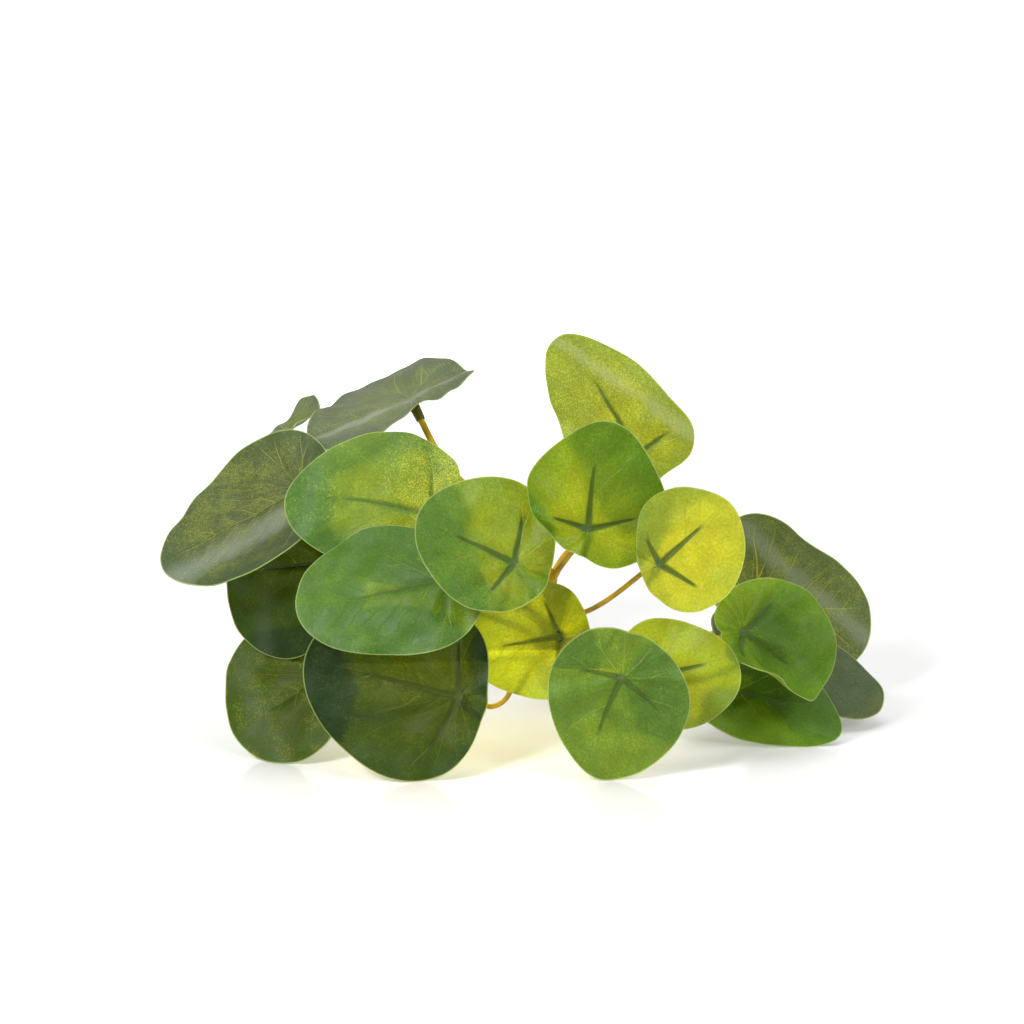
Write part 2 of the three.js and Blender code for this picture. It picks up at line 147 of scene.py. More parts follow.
# the table of trims as even steps round the rim, rounded off so that no corner is left
trimSteps = {}
for name in leaves:
    trim = trims.get(name, {0: 0})
    turns = np.linspace(0, 16, 321)
    steps = np.interp(turns[:-1], list(trim), list(trim.values()), period=16)
    rounding = np.exp(-(np.arange(-16, 17) / 7) ** 2)
    around = np.concatenate([steps[-16:], steps, steps[:16]])
    steps = np.convolve(around, rounding / rounding.sum(), "valid")
    trimSteps[name] = (turns, np.append(steps, steps[0]))


# how far the rim is from the hub: a smooth line through the eight distances, and the trim
def rimDistance(name, angle):
    rim = np.array(leaves[name]["rim"], float)
    place = (angle * 8 / (2 * np.pi)) % 8
    i = np.floor(place).astype(int)
    t = place - i
    p, a, b, q = (rim[(i + k) % 8] for k in (-1, 0, 1, 2))
    distance = a + 0.5 * t * (b - p + t * (2 * p - 5 * a + 4 * b - q + t * (3 * (a - b) + q - p)))
    return distance + np.interp(place * 2, *trimSteps[name])


# where a point of the blade lies in the leaf's own axes, at a share of the way to the rim
def bladePoint(name, share, angle, height):
    leaf = leaves[name]
    share, angle, height = np.broadcast_arrays(np.asarray(share, float), angle, height)
    rim = leaf["rim"]
    distance = share * rimDistance(name, angle)
    across, along = distance * np.sin(angle), distance * np.cos(angle)
    leftCurl, rightCurl = (math.radians(curl) for curl in leaf["wings"])
    wing = np.where(across > 0, leftCurl / rim[2], rightCurl / rim[6])
    aside = np.where(along > 0, leaf["bow"] * (along / rim[0]) ** 2, 0)
    height = height + blade["wave"] * share * share * np.sin(3 * angle + int(name))
    flat = np.abs(wing) < 1e-6
    radius = 1 / np.where(flat, 1, wing)
    v = np.where(flat, across, (radius - height) * np.sin(across * wing))
    n = np.where(flat, height, radius - (radius - height) * np.cos(across * wing))
    return np.stack([along, v + aside, n], -1)


# the leaf's own axes (along the middle rib, to its left, up from the cloth), and where they start
def leafAxes(name):
    leaf = leaves[name]
    u = Vector(leaf["tip"]).normalized()
    v = Vector(leaf["face"]).cross(u).normalized()
    return np.array([u, v, u.cross(v)]), np.array(Vector(leaf["at"]) - middle)


# from the leaf's own axes in millimetres to the frame's in metres
def toSpray(name, points):
    axes, at = leafAxes(name)
    return (points @ axes + at) * mm


# a smooth way through points, the same as the one that the solids follow
def smoothWay(points, steps):
    p = [Vector(q) for q in points]
    p = [p[0] * 2 - p[1]] + p + [p[-1] * 2 - p[-2]]
    way = []
    for i in range(len(p) - 3):
        a, b, c, d = p[i:i + 4]
        ab, bc, cd = ((y - x).length ** 0.5 for x, y in ((a, b), (b, c), (c, d)))
        start = ((b - a) / ab - (c - a) / (ab + bc) + (c - b) / bc) * bc
        end = ((c - b) / bc - (d - b) / (bc + cd) + (d - c) / cd) * bc
        for k in range(steps):
            t = k / steps
            way.append(b + start * t + (c * 3 - b * 3 - start * 2 - end) * t * t
                       + (b * 2 - c * 2 + start + end) * t ** 3)
    return way + [p[-2]]


# 0 below low, 1 above high, and a soft step between them
def smooth(low, high, x):
    t = np.clip((x - low) / (high - low), 0, 1)
    return t * t * (3 - 2 * t)


# a colour as a picture editor gives it
def tint(r, g, b):
    return tuple((c / 255 / 12.92 if c < 11 else ((c / 255 + 0.055) / 1.055) ** 2.4)
                 for c in (r, g, b)) + (1,)


def newMaterial(name):
    material = bpy.data.materials.new(name)
    material.use_nodes = True
    material.node_tree.nodes.clear()
    return material, material.node_tree


# one node; its inputs are given by name, with _ for a space, or as i0, i1 by number
def node(tree, kind, settings=None, **inputs):
    made = tree.nodes.new(kind)
    for key, value in (settings or {}).items():
        setattr(made, key, value)
    for key, value in inputs.items():
        numbered = key[0] == "i" and key[1:].isdigit()
        socket = made.inputs[int(key[1:]) if numbered else key.replace("_", " ")]
        if isinstance(value, bpy.types.NodeSocket):
            tree.links.new(value, socket)
        else:
            socket.default_value = value
    return made


def calc(tree, operation, a, b=0.0, c=0.0):
    return node(tree, "ShaderNodeMath", {"operation": operation}, i0=a, i1=b, i2=c).outputs[0]


def times(tree, a, b):
    return calc(tree, "MULTIPLY", a, b)


def ramp(tree, value, low, high, toLow=0.0, toHigh=1.0):
    return node(tree, "ShaderNodeMapRange", {"interpolation_type": "SMOOTHSTEP"}, Value=value, From_Min=low,
                From_Max=high, To_Min=toLow, To_Max=toHigh).outputs[0]


def blend(tree, factor, a, b, way="MIX"):
    made = tree.nodes.new("ShaderNodeMix")
    made.data_type, made.blend_type = "RGBA", way
    for index, value in ((0, factor), (6, a), (7, b)):
        if isinstance(value, bpy.types.NodeSocket):
            tree.links.new(value, made.inputs[index])
        else:
            made.inputs[index].default_value = value
    return made.outputs[2]


def grey(tree, value):
    return node(tree, "ShaderNodeCombineColor", Red=value, Green=value, Blue=value).outputs[0]


def noiseOf(tree, place, scale, detail=2.0, rough=0.5):
    return node(tree, "ShaderNodeTexNoise", Vector=place, Scale=scale, Detail=detail,
                Roughness=rough).outputs[0]


# how fine the noises and weaves of the cloth are, for each millimetre
grain = {"broad": 0.05, "patchy": 0.11, "wander": 0.035, "bend": 0.06, "clumps": 0.16, "net": 0.55,
         "speck": 0.9, "dots": 2.5, "weave": 0.75}

# main and fine veins: how many, where they fork in millimetres from the hub, how fast the branches part.
# rungs: the side veins of the middle vein. thinning and fade: towards the rim. ahead: the sector of the rungs
veinPlan = {"main": (9, 15, 0.24), "fine": (14, 8, 0.17), "fineWidth": 0.6, "fineTurn": 0.31,
            "fineShare": 0.35, "wander": 0.5, "sway": 1.6, "thinning": 0.6, "fade": (0.7, 0.96),
            "rungGap": 9.5, "rungSlant": 0.75, "rungCurve": 1.15, "rungWidth": 0.8, "rungBend": 9.0,
            "rungStart": (3.0, 7.0), "middleStart": (2.0, 5.0), "ahead": (0.7, 1.0)}

# painted rib shade, where the ribs keep the light back: half widths at the hub and at the end, softness, and
# where they fade out
ribShade = {"halfWidths": (1.6, 0.7), "soft": (0.55, 1.4), "start": (-1.0, 0.5), "end": (0.52, 0.64),
            "ink": 0.75, "through": (30, 44, 8)}

# how the speckles thin out round their place, gather in patches and clumps, and fade at their edges
speckPlan = {"round": (0.2, 1.3), "patches": (0.44, 0.7), "clumps": (0.36, 0.62), "edge": (0.2, 0.6)}

# the rest of the print and the painted shade and reflection round the hub: millimetres, shares of ink, and
# how far patches and specks vary
printAndShadePlan = {"netLine": 0.14, "netInk": (18, 40, 16), "netThrough": (60, 80, 4), "rim": (0.2, 0.65),
             "rimInk": 0.6, "hub": (1.2, 2.4), "hubShadeSheenInk": 0.45, "uneven": 0.8, "patches": (0.91, 1.09),
             "specks": (0.86, 1.14), "veinThrough": 0.5, "underInk": 0.6, "underThrough": 0.8}

# how much each pattern stands out: veins on top and under the leaf, weave, patches; metres for all
proud = {"top": -0.35, "under": 0.5, "weave": 0.08, "patches": 0.3, "height": 0.0006}


# 1 in the middle of a line that is thin wide, falling to 0 at its edge
def lineOf(tree, away, thin):
    return calc(tree, "SUBTRACT", 1.0, calc(tree, "MINIMUM", calc(tree, "DIVIDE", away, thin), 1.0))


# how far a point lies to the side of a line in the leaf's plane
def sideOf(tree, u, v, degrees, offset=0.0):
    cos, sin = math.cos(math.radians(degrees)), math.sin(math.radians(degrees))
    shifted = calc(tree, "MULTIPLY_ADD", u, sin, float(offset))
    return calc(tree, "ABSOLUTE", calc(tree, "SUBTRACT", times(tree, v, cos), shifted))


# thin lines that start at the hub, wander a little and fork once on their way to the rim
def forkedVeins(tree, polar, wander, plan, width, shift):
    r, theta, share = polar
    count, forkAt, spread = plan
    step = 2 * math.pi / count
    turn = calc(tree, "ADD", calc(tree, "MULTIPLY_ADD", theta, 1 / step, 0.5 + shift), wander)
    cell = calc(tree, "ABSOLUTE", calc(tree, "SUBTRACT", calc(tree, "FRACT", turn), 0.5))
    across = times(tree, cell, times(tree, r, step))
    apart = times(tree, calc(tree, "MAXIMUM", calc(tree, "SUBTRACT", r, forkAt), 0.0), spread)
    line = calc(tree, "ABSOLUTE", calc(tree, "SUBTRACT", across, apart))
    return lineOf(tree, line, calc(tree, "MULTIPLY_ADD", share, -veinPlan["thinning"] * width, width))


# in front of the hub a middle vein and side veins that leave it, behind it the forked ones
def veinPattern(tree, u, v, polar, place, width):
    r, theta, share = polar
    wander = calc(tree, "MULTIPLY_ADD", noiseOf(tree, place, grain["wander"], 1.0),
                  veinPlan["wander"], veinPlan["wander"] * -0.5)
    main = forkedVeins(tree, polar, wander, veinPlan["main"], width, 0)
    fine = forkedVeins(tree, polar, wander, veinPlan["fine"], width * veinPlan["fineWidth"],
                       veinPlan["fineTurn"])
    thin = calc(tree, "MULTIPLY_ADD", share, -veinPlan["thinning"] * width, width)
    bend = calc(tree, "MULTIPLY_ADD", noiseOf(tree, place, grain["bend"], 1.0),
                veinPlan["rungBend"], veinPlan["rungBend"] * -0.5)
    aside = calc(tree, "ABSOLUTE", calc(tree, "ADD", v, times(tree, wander, veinPlan["sway"])))
    slant = times(tree, calc(tree, "POWER", aside, veinPlan["rungCurve"]), veinPlan["rungSlant"])
    sweep = calc(tree, "SUBTRACT", u, slant)
    rungs = times(tree, calc(tree, "ADD", sweep, bend), 1 / veinPlan["rungGap"])
    rungs = calc(tree, "FRACT", calc(tree, "MULTIPLY_ADD", wander, 0.9, rungs))
    rungs = times(tree, calc(tree, "ABSOLUTE", calc(tree, "SUBTRACT", rungs, 0.5)), 7.0)
    sides = lineOf(tree, rungs, times(tree, thin, veinPlan["rungWidth"]))
    sides = times(tree, sides, ramp(tree, sweep, *veinPlan["rungStart"]))
    middleVein = times(tree, lineOf(tree, aside, thin), ramp(tree, u, *veinPlan["middleStart"]))
    ahead = ramp(tree, calc(tree, "ABSOLUTE", theta), *veinPlan["ahead"], 1.0, 0.0)
    main = times(tree, main, calc(tree, "SUBTRACT", 1.0, ahead))
    main = calc(tree, "MAXIMUM", main, calc(tree, "MAXIMUM", middleVein, times(tree, sides, ahead)))
    veins = calc(tree, "MAXIMUM", main, times(tree, fine, veinPlan["fineShare"]))
    return times(tree, veins, ramp(tree, share, *veinPlan["fade"], 1.0, 0.0))


# bright grains of print, thick round one place, sparse elsewhere, and gathered in clumps
def specklePattern(tree, u, v, place, patchy, look):
    dots = node(tree, "ShaderNodeTexVoronoi", Vector=place, Scale=grain["dots"], Randomness=1.0).outputs
    chance = node(tree, "ShaderNodeSeparateColor", Color=dots["Color"]).outputs[0]
    spotU, spotV, spotSize = look["speckAt"]
    away = calc(tree, "SQRT", calc(tree, "ADD", calc(tree, "POWER", calc(tree, "SUBTRACT", u, spotU), 2.0),
                                   calc(tree, "POWER", calc(tree, "SUBTRACT", v, spotV), 2.0)))
    crowd = ramp(tree, calc(tree, "DIVIDE", away, spotSize), *speckPlan["round"], look["crowd"], 0.0)
    scatter = times(tree, ramp(tree, patchy, *speckPlan["patches"]), look["scatter"])
    crowd = calc(tree, "ADD", crowd, scatter)
    clumps = ramp(tree, noiseOf(tree, place, grain["clumps"], 3.0, 0.6), *speckPlan["clumps"],
                  1 - look["clumped"], 1 + look["clumped"])
    present = calc(tree, "LESS_THAN", chance, times(tree, crowd, clumps))
    return times(tree, present, ramp(tree, dots["Distance"], *speckPlan["edge"], look["speckles"], 0.0))


# the three ribs behind the cloth, which keep the light back; a mask for their painted shade
def ribShadePattern(tree, u, v, share):
    ribs = 0.0
    for turn in (0, blade["sideRibs"], -blade["sideRibs"]):
        cos, sin = math.cos(math.radians(turn)), math.sin(math.radians(turn))
        along = calc(tree, "ADD", times(tree, u, cos), times(tree, v, sin))
        wide = ramp(tree, share, 0.0, blade["ribReach"], *ribShade["halfWidths"])
        bar = ramp(tree, calc(tree, "DIVIDE", sideOf(tree, u, v, turn), wide), *ribShade["soft"], 1.0, 0.0)
        ends = times(tree, ramp(tree, along, *ribShade["start"]),
                     ramp(tree, share, *ribShade["end"], 1.0, 0.0))
        ribs = calc(tree, "MAXIMUM", times(tree, bar, ends), ribs)
    return ribs


# a painted grey sheen in a soft band: direction, distance from the hub, half width, strength
def paintedSheenPattern(tree, u, v, patchy, band):
    turn, offset, half, strength = band
    off = calc(tree, "ADD", sideOf(tree, u, v, turn, offset),
               calc(tree, "MULTIPLY_ADD", patchy, half * 1.6, half * -0.8))
    return ramp(tree, calc(tree, "DIVIDE", off, float(half)), 0.1, 1.3, strength, 0.0)


# printed cloth: heart and margin colours, veins, speckles and a fine print, with painted sheen bands, painted
# shade and reflection round the hub and painted shade over the ribs. Light from behind comes through it in a
# yellower colour than the print has.
def clothMaterial(name, look, seed, under=False):
    material, tree = newMaterial(name)
    spot = node(tree, "ShaderNodeAttribute", {"attribute_name": "blade"}).outputs["Vector"]
    u, v, share = node(tree, "ShaderNodeSeparateXYZ", Vector=spot).outputs
    r = calc(tree, "SQRT", calc(tree, "ADD", times(tree, u, u), times(tree, v, v)))
    theta = calc(tree, "ARCTAN2", v, u)
    place = node(tree, "ShaderNodeCombineXYZ", X=u, Y=v, Z=float(seed * 40)).outputs[0]
    broad = noiseOf(tree, place, grain["broad"], 2.0)
    patchy = noiseOf(tree, place, grain["patchy"], 3.0, 0.6)
    speck = noiseOf(tree, place, grain["speck"], 2.0, 0.7)
    veins = veinPattern(tree, u, v, (r, theta, share), place, look["veinWidth"])
    net = node(tree, "ShaderNodeTexVoronoi", {"feature": "DISTANCE_TO_EDGE"}, Vector=place,
               Scale=grain["net"]).outputs[0]
    net = times(tree, ramp(tree, net, 0.0, printAndShadePlan["netLine"], 1.0, 0.0), look["net"])
    speckles = specklePattern(tree, u, v, place, patchy, look)
    # painted shade over the ribs, for the light that they keep back
    ribs = times(tree, ribShadePattern(tree, u, v, share), look["ribs"])
    paintedSheen = paintedSheenPattern(tree, u, v, patchy, look["paintedSheen"])
    toRim = calc(tree, "SUBTRACT", calc(tree, "DIVIDE", r, calc(tree, "MAXIMUM", share, 0.01)), r)
    rim = ramp(tree, toRim, *printAndShadePlan["rim"], printAndShadePlan["rimInk"], 0.0)
    # painted shade and reflection round the hub: a greyish blue spot where the hub keeps back the light from
    # behind and the dimpled cloth mirrors the tent
    hub = ramp(tree, r, *printAndShadePlan["hub"], printAndShadePlan["hubShadeSheenInk"], 0.0)

    # from the heart of the leaf to its margin
    uneven = calc(tree, "MULTIPLY_ADD", broad, printAndShadePlan["uneven"], printAndShadePlan["uneven"] * -0.5)
    reach = calc(tree, "ADD", share, uneven)
    outwards = ramp(tree, reach, look["heart"], 1.0)
    dapple = grey(tree, times(tree, ramp(tree, patchy, 0.3, 0.7, *printAndShadePlan["patches"]),
                              ramp(tree, speck, 0.3, 0.7, *printAndShadePlan["specks"])))

    # the print, as light falls on it, with painted sheen, painted shade round the hub and painted shade over
    # the ribs
    ink = blend(tree, outwards, tint(*look["inner"]), tint(*look["outer"]))
    ink = blend(tree, 1.0, ink, dapple, "MULTIPLY")
    ink = blend(tree, net, ink, tint(*printAndShadePlan["netInk"]))
    ink = blend(tree, times(tree, veins, look["veins"]), ink, tint(*look["veinTint"]))
    ink = blend(tree, speckles, ink, tint(*look["speckTint"]))
    # painted sheen: a grey band laid over the print
    ink = blend(tree, paintedSheen, ink, tint(*look["paintedSheenTint"]))
    # painted shade and reflection round the hub
    ink = blend(tree, hub, ink, tint(*look["hubShadeSheenTint"]))
    # painted shade over the ribs in the print
    ink = blend(tree, times(tree, ribs, ribShade["ink"]), ink, tint(*look["ribShadeTint"]))
    ink = blend(tree, rim, ink, tint(*look["rimTint"]))

    # the cloth, as light shines through it, with the painted shadow of the ribs
    through = blend(tree, outwards, tint(*look["glowInner"]), tint(*look["glowOuter"]))
    through = blend(tree, 1.0, through, dapple, "MULTIPLY")
    through = blend(tree, net, through, tint(*printAndShadePlan["netThrough"]))
    veinLight = times(tree, veins, look["veins"] * printAndShadePlan["veinThrough"])
    through = blend(tree, veinLight, through, tint(*look["glowVein"]))
    through = blend(tree, speckles, through, tint(*look["glowVein"]))
    # painted shadow of the ribs in the light that comes through
    through = blend(tree, ribs, through, tint(*ribShade["through"]))
    through = blend(tree, rim, through, tint(*look["glowVein"]))
    if under:
        ink = blend(tree, printAndShadePlan["underInk"], ink, tint(*look["underTint"]))
        through = blend(tree, printAndShadePlan["underThrough"], through, tint(*look["underGlow"]))

    # veins stand proud under the leaf and are sunk on top of it; the weave runs both ways
    weave = [node(tree, "ShaderNodeTexWave", {"bands_direction": way}, Vector=place,
                  Scale=grain["weave"]).outputs["Fac"] for way in "XY"]
    fabric = times(tree, times(tree, *weave), proud["weave"])
    relief = calc(tree, "ADD", times(tree, veins, proud["under" if under else "top"]),
                  calc(tree, "ADD", fabric, times(tree, patchy, proud["patches"])))
    bump = node(tree, "ShaderNodeBump", Strength=look["bump"], Distance=proud["height"],
                Height=relief).outputs[0]
    rough = ramp(tree, patchy, 0.3, 0.7, look["rough"] - 0.05, look["rough"] + 0.07)
    skin = node(tree, "ShaderNodeBsdfPrincipled", Base_Color=ink, Roughness=rough, Normal=bump)
    skin.inputs["Specular IOR Level"].default_value = look["gloss"]
    lit = node(tree, "ShaderNodeBsdfTranslucent", Color=through, Normal=bump)
    mixed = node(tree, "ShaderNodeMixShader", i0=look["translucent"], i1=skin.outputs[0],
                 i2=lit.outputs[0])
    node(tree, "ShaderNodeOutputMaterial", Surface=mixed.outputs[0])
    return material


edgeFinish = {"shade": (100, 118, 54), "light": (138, 152, 84), "fray": 900, "rough": 0.7, "bump": 0.3}
tinyBumps = 0.0002  # metres


# where the cloth is cut, its pale threads show
def cutEdgeMaterial():
    material, tree = newMaterial("clothCutEdge")
    place = node(tree, "ShaderNodeTexCoord").outputs["Object"]
    fray = noiseOf(tree, place, edgeFinish["fray"], 2.0)
    shade = blend(tree, fray, tint(*edgeFinish["shade"]), tint(*edgeFinish["light"]))
    bump = node(tree, "ShaderNodeBump", Strength=edgeFinish["bump"], Distance=tinyBumps,
                Height=fray).outputs[0]
    skin = node(tree, "ShaderNodeBsdfPrincipled", Base_Color=shade, Roughness=edgeFinish["rough"],
                Normal=bump)
    node(tree, "ShaderNodeOutputMaterial", Surface=skin.outputs[0])
    return material


# moulded plastic with a soft cloud of two shades and small pits
def mouldedMaterial(name, finish):
    material, tree = newMaterial(name)
    place = node(tree, "ShaderNodeTexCoord").outputs["Object"]
    cloud = noiseOf(tree, place, finish["cloud"], 3.0)
    pits = noiseOf(tree, place, finish["pits"], 2.0)
    shade = blend(tree, ramp(tree, cloud, 0.35, 0.65), tint(*finish["shade"]), tint(*finish["light"]))
    bump = node(tree, "ShaderNodeBump", Strength=finish["bump"], Distance=tinyBumps,
                Height=calc(tree, "MULTIPLY_ADD", cloud, 2.0, pits)).outputs[0]
    rough = ramp(tree, cloud, 0.3, 0.7, finish["rough"] - 0.06, finish["rough"] + 0.06)
    skin = node(tree, "ShaderNodeBsdfPrincipled", Base_Color=shade, Roughness=rough, Normal=bump)
    skin.inputs["Specular IOR Level"].default_value = finish["gloss"]
    node(tree, "ShaderNodeOutputMaterial", Surface=skin.outputs[0])
    return material


# what all the printed cloth shares, what each of the five tones of print has, and what one leaf changes. The
# tones are partly painted light: brighter and yellower for leaves that the light comes through, darker for
# leaves in shade.
cloth = {"inner": (64, 114, 26), "outer": (66, 116, 36), "heart": 0.2, "glowInner": (186, 180, 14),
         "glowOuter": (160, 168, 18), "translucent": 0.5, "underTint": (150, 176, 100),
         "underGlow": (230, 224, 130), "hubShadeSheenTint": (120, 150, 96), "ribShadeTint": (74, 90, 20),
         "rimTint": (176, 200, 120), "veins": 0.28, "veinWidth": 0.6, "veinTint": (164, 184, 84),
         "glowVein": (230, 218, 80), "net": 0.16, "speckles": 0.5, "speckTint": (206, 208, 82),
         "speckAt": (0, 0, 1), "crowd": 0.45, "clumped": 0.35, "scatter": 0.25, "paintedSheen": (0, 0, 1, 0),
         "paintedSheenTint": (150, 160, 142), "rough": 0.36, "gloss": 0.35, "bump": 0.9}
printsLitAndShaded = {
    "olive": {"inner": (80, 94, 44), "outer": (70, 88, 46), "glowInner": (112, 118, 18),
              "glowOuter": (92, 104, 22), "translucent": 0.4, "veins": 0.55, "veinTint": (160, 168, 84),
              "speckles": 0.5, "speckTint": (168, 172, 60), "scatter": 0.5, "rough": 0.42, "gloss": 0.45},
    "dark": {"inner": (34, 50, 12), "outer": (30, 54, 28), "glowInner": (116, 112, 0),
             "glowOuter": (92, 98, 4), "translucent": 0.52, "veins": 0.12, "speckles": 0.2, "gloss": 0.24},
    "mid": {},
    "light": {"inner": (80, 126, 16), "outer": (70, 122, 22), "glowInner": (200, 186, 4),
              "glowOuter": (172, 172, 6)},
    "yellow": {"inner": (132, 150, 30), "outer": (126, 150, 40), "glowInner": (238, 220, 60),
               "glowOuter": (224, 212, 66), "veins": 0.25, "net": 0.07, "speckles": 0.25},
}
# ribs: how strongly the painted rib shade shows. The greyer colours of leaf 18 are painted sheen.
looks = {
    "01": ("olive", {"veins": 0.8, "net": 0.4, "speckAt": (36, -14, 34), "crowd": 0.55, "clumped": 0.9,
                     "paintedSheen": (0, 13, 9, 0.5), "bump": 1.5, "ribs": 0.1}),
    "02": ("olive", {"inner": (98, 122, 44), "outer": (92, 102, 76), "heart": 0.1,
                     "glowInner": (130, 146, 24), "ribs": 0}),
    "03": ("olive", {"inner": (106, 118, 76), "outer": (88, 102, 74), "speckAt": (30, 8, 26),
                     "crowd": 0.45, "paintedSheen": (8, 2, 4, 0.6), "ribs": 0.1}),
    "04": ("mid", {"inner": (70, 120, 34), "outer": (74, 122, 50), "speckles": 1,
                   "speckAt": (-4, -20, 28), "crowd": 0.75, "ribs": 0.4}),
    "05": ("mid", {"outer": (74, 120, 38), "glowInner": (140, 150, 10), "ribs": 0.3}),
    "06": ("light", {"outer": (68, 118, 34), "ribs": 0.9}),
    "07": ("dark", {"inner": (38, 64, 2), "outer": (38, 64, 12), "glowInner": (76, 92, 0),
                    "glowOuter": (62, 82, 2), "paintedSheen": (80, -30, 6, 0.12), "ribs": 0.7}),
    "08": ("olive", {"inner": (54, 74, 6), "outer": (58, 82, 12), "glowInner": (94, 102, 0),
                     "glowOuter": (86, 102, 6), "veins": 0.3, "paintedSheen": (84, -34, 6, 0.1), "gloss": 0.22,
                     "ribs": 0.1}),
    "09": ("dark", {"glowInner": (102, 118, 0), "glowOuter": (82, 106, 0), "ribs": 1}),
    "10": ("yellow", {"inner": (150, 166, 34), "outer": (134, 156, 48), "glowInner": (236, 232, 26),
                      "glowOuter": (206, 212, 40), "ribs": 0.45}),
    "11": ("light", {"inner": (92, 132, 44), "outer": (88, 128, 56), "glowOuter": (184, 184, 40),
                     "speckles": 0.8, "speckAt": (30, 8, 40), "paintedSheen": (-150, 25, 4, 0.4), "ribs": 0.6}),
    "12": ("light", {"inner": (92, 130, 10), "gloss": 0.24, "ribs": 0.95}),
    "13": ("yellow", {"ribs": 0.9}),
    "14": ("yellow", {"inner": (108, 140, 30), "outer": (106, 142, 36), "glowInner": (210, 200, 24),
                      "glowOuter": (200, 196, 28), "ribs": 0.7}),
    "15": ("mid", {"inner": (76, 122, 36), "outer": (86, 128, 46), "glowInner": (150, 156, 14),
                   "glowOuter": (142, 154, 26), "ribs": 0.7}),
    "16": ("mid", {"inner": (72, 124, 10), "outer": (92, 142, 22), "glowInner": (148, 160, 4),
                   "glowOuter": (170, 184, 8), "ribs": 0.5}),
    "17": ("olive", {"inner": (104, 120, 48), "outer": (98, 116, 64), "veins": 0.8, "veinWidth": 0.8,
                     "veinTint": (190, 192, 84), "net": 0.4, "clumped": 0.8, "paintedSheen": (-44, 26, 5, 0.4),
                     "gloss": 0.3, "bump": 1.5, "ribs": 0.1}),
    "18": ("dark", {"inner": (98, 118, 78), "outer": (100, 118, 84), "ribs": 0.1}),
    "19": ("mid", {"inner": (56, 98, 0), "outer": (76, 124, 22), "glowInner": (88, 114, 0),
                   "glowOuter": (122, 146, 8), "veins": 0.3, "veinTint": (150, 160, 30), "speckles": 0.15,
                   "ribs": 0.1}),
}


# one round net of faces, pulled inwards ring by ring from a circle, then copied for every leaf
def makeDisc():
    bpy.ops.mesh.primitive_circle_add(vertices=blade["sectors"], radius=1, fill_type="NOTHING",
                                      location=(0, 0, 0))
    disc = bpy.context.object
    bpy.ops.object.mode_set(mode="EDIT")
    bpy.ops.mesh.select_all(action="SELECT")
    rings = blade["rings"]
    for ring in range(rings, 1, -1):
        bpy.ops.mesh.extrude_edges_move()
        size = (ring - 1) / ring
        bpy.ops.transform.resize(value=(size, size, 1))
    bpy.ops.mesh.extrude_edges_move()
    bpy.ops.mesh.merge(type="CENTER")
    bpy.ops.mesh.select_all(action="SELECT")
    bpy.ops.mesh.normals_make_consistent(inside=False)
    bpy.ops.object.mode_set(mode="OBJECT")
    return disc


# larger hollows and humps: where (u, v), how far round, how high
humps = {
    "02": [(-16, 12, 9, -2)],
    "03": [(-16, -38, 20, 5), (-22, 12, 13, 3), (18, -30, 16, 1.5)],
    "04": [(35, 27, 14, -2.8)],
    "19": [(47, -17, 20, 2.2)],
}

# creases: one side of a line from the hub bends away: the line in degrees, the side, how steeply it sinks
creases = {"01": (4, 1, -0.06), "08": (-40, -1, 0.2), "11": (-24, -1, 0.22), "18": (10, 1, 0.2)}

# leaves with deeper pleats than the rest
pleating = {"06": 1.7, "10": 1.4, "12": 1.6, "13": 1.5, "14": 1.6, "15": 1.2, "16": 1.3}

# fine relief of the cloth, in millimetres: how high or deep each form is, and how long the soft folds are
forms = {"middle": 0.4, "troughs": 0.8, "troughWidth": 2.2, "puckers": 0.3, "ripples": 0.3, "pleats": 0.55,
         "folds": 0.4, "foldLengths": (13, 17, 24, 33)}


# troughs over the ribs, puckers round the hub, ripples and pleats towards the rim, soft folds all over
def clothRelief(name, share, angle):
    dip = np.zeros_like(share)
    distance = share * rimDistance(name, angle)
    for line in (0, blade["sideRibs"], -blade["sideRibs"]):
        turn = (angle - math.radians(line) + np.pi) % (2 * np.pi) - np.pi
        off = np.where(np.abs(turn) < np.pi / 2, np.abs(distance * np.sin(turn)), distance)
        trough = np.exp(-(off / forms["troughWidth"]) ** 2) * (1 - smooth(0.4, 0.75, share))
        dip = np.maximum(dip, trough)
    chance = np.random.default_rng(int(name) + 5)
    pucker = np.sin(9 * angle + chance.uniform(0, 6)) * smooth(0.05, 0.35, share)
    pucker = pucker * (1 - smooth(0.45, 0.95, share))
    ripple = np.sin(7 * angle + chance.uniform(0, 6) + 5 * share) * smooth(0.6, 1, share)
    pleats = sum(np.sin(n * angle + chance.uniform(0, 6)) * 5 / n for n in (4, 5, 9, 13))
    pleats = pleats * smooth(0.25, 1, share) * pleating.get(name, 1)
    u, v = distance * np.cos(angle), distance * np.sin(angle)
    folds = 0
    for length in forms["foldLengths"]:
        way, start = chance.uniform(0, 2 * np.pi, 2)
        wave = (u * np.cos(way) + v * np.sin(way)) * 2 * np.pi / length + start
        folds = folds + length / 24 * np.sin(wave)
    lift = sum(high * np.exp(-((u - x) ** 2 + (v - y) ** 2) / far ** 2)
               for x, y, far, high in humps.get(name, []))
    if name in creases:
        line, side, slope = creases[name]
        beyond = side * (v * math.cos(math.radians(line)) - u * math.sin(math.radians(line)))
        lift = lift - slope * (np.sqrt(beyond ** 2 + 9) + beyond - 3) / 2 * smooth(0.05, 0.5, share)
    return (forms["middle"] - forms["troughs"] * dip + forms["puckers"] * pucker
            + forms["ripples"] * ripple + forms["pleats"] * pleats
            + forms["folds"] * folds * smooth(0.1, 0.5, share) + lift)


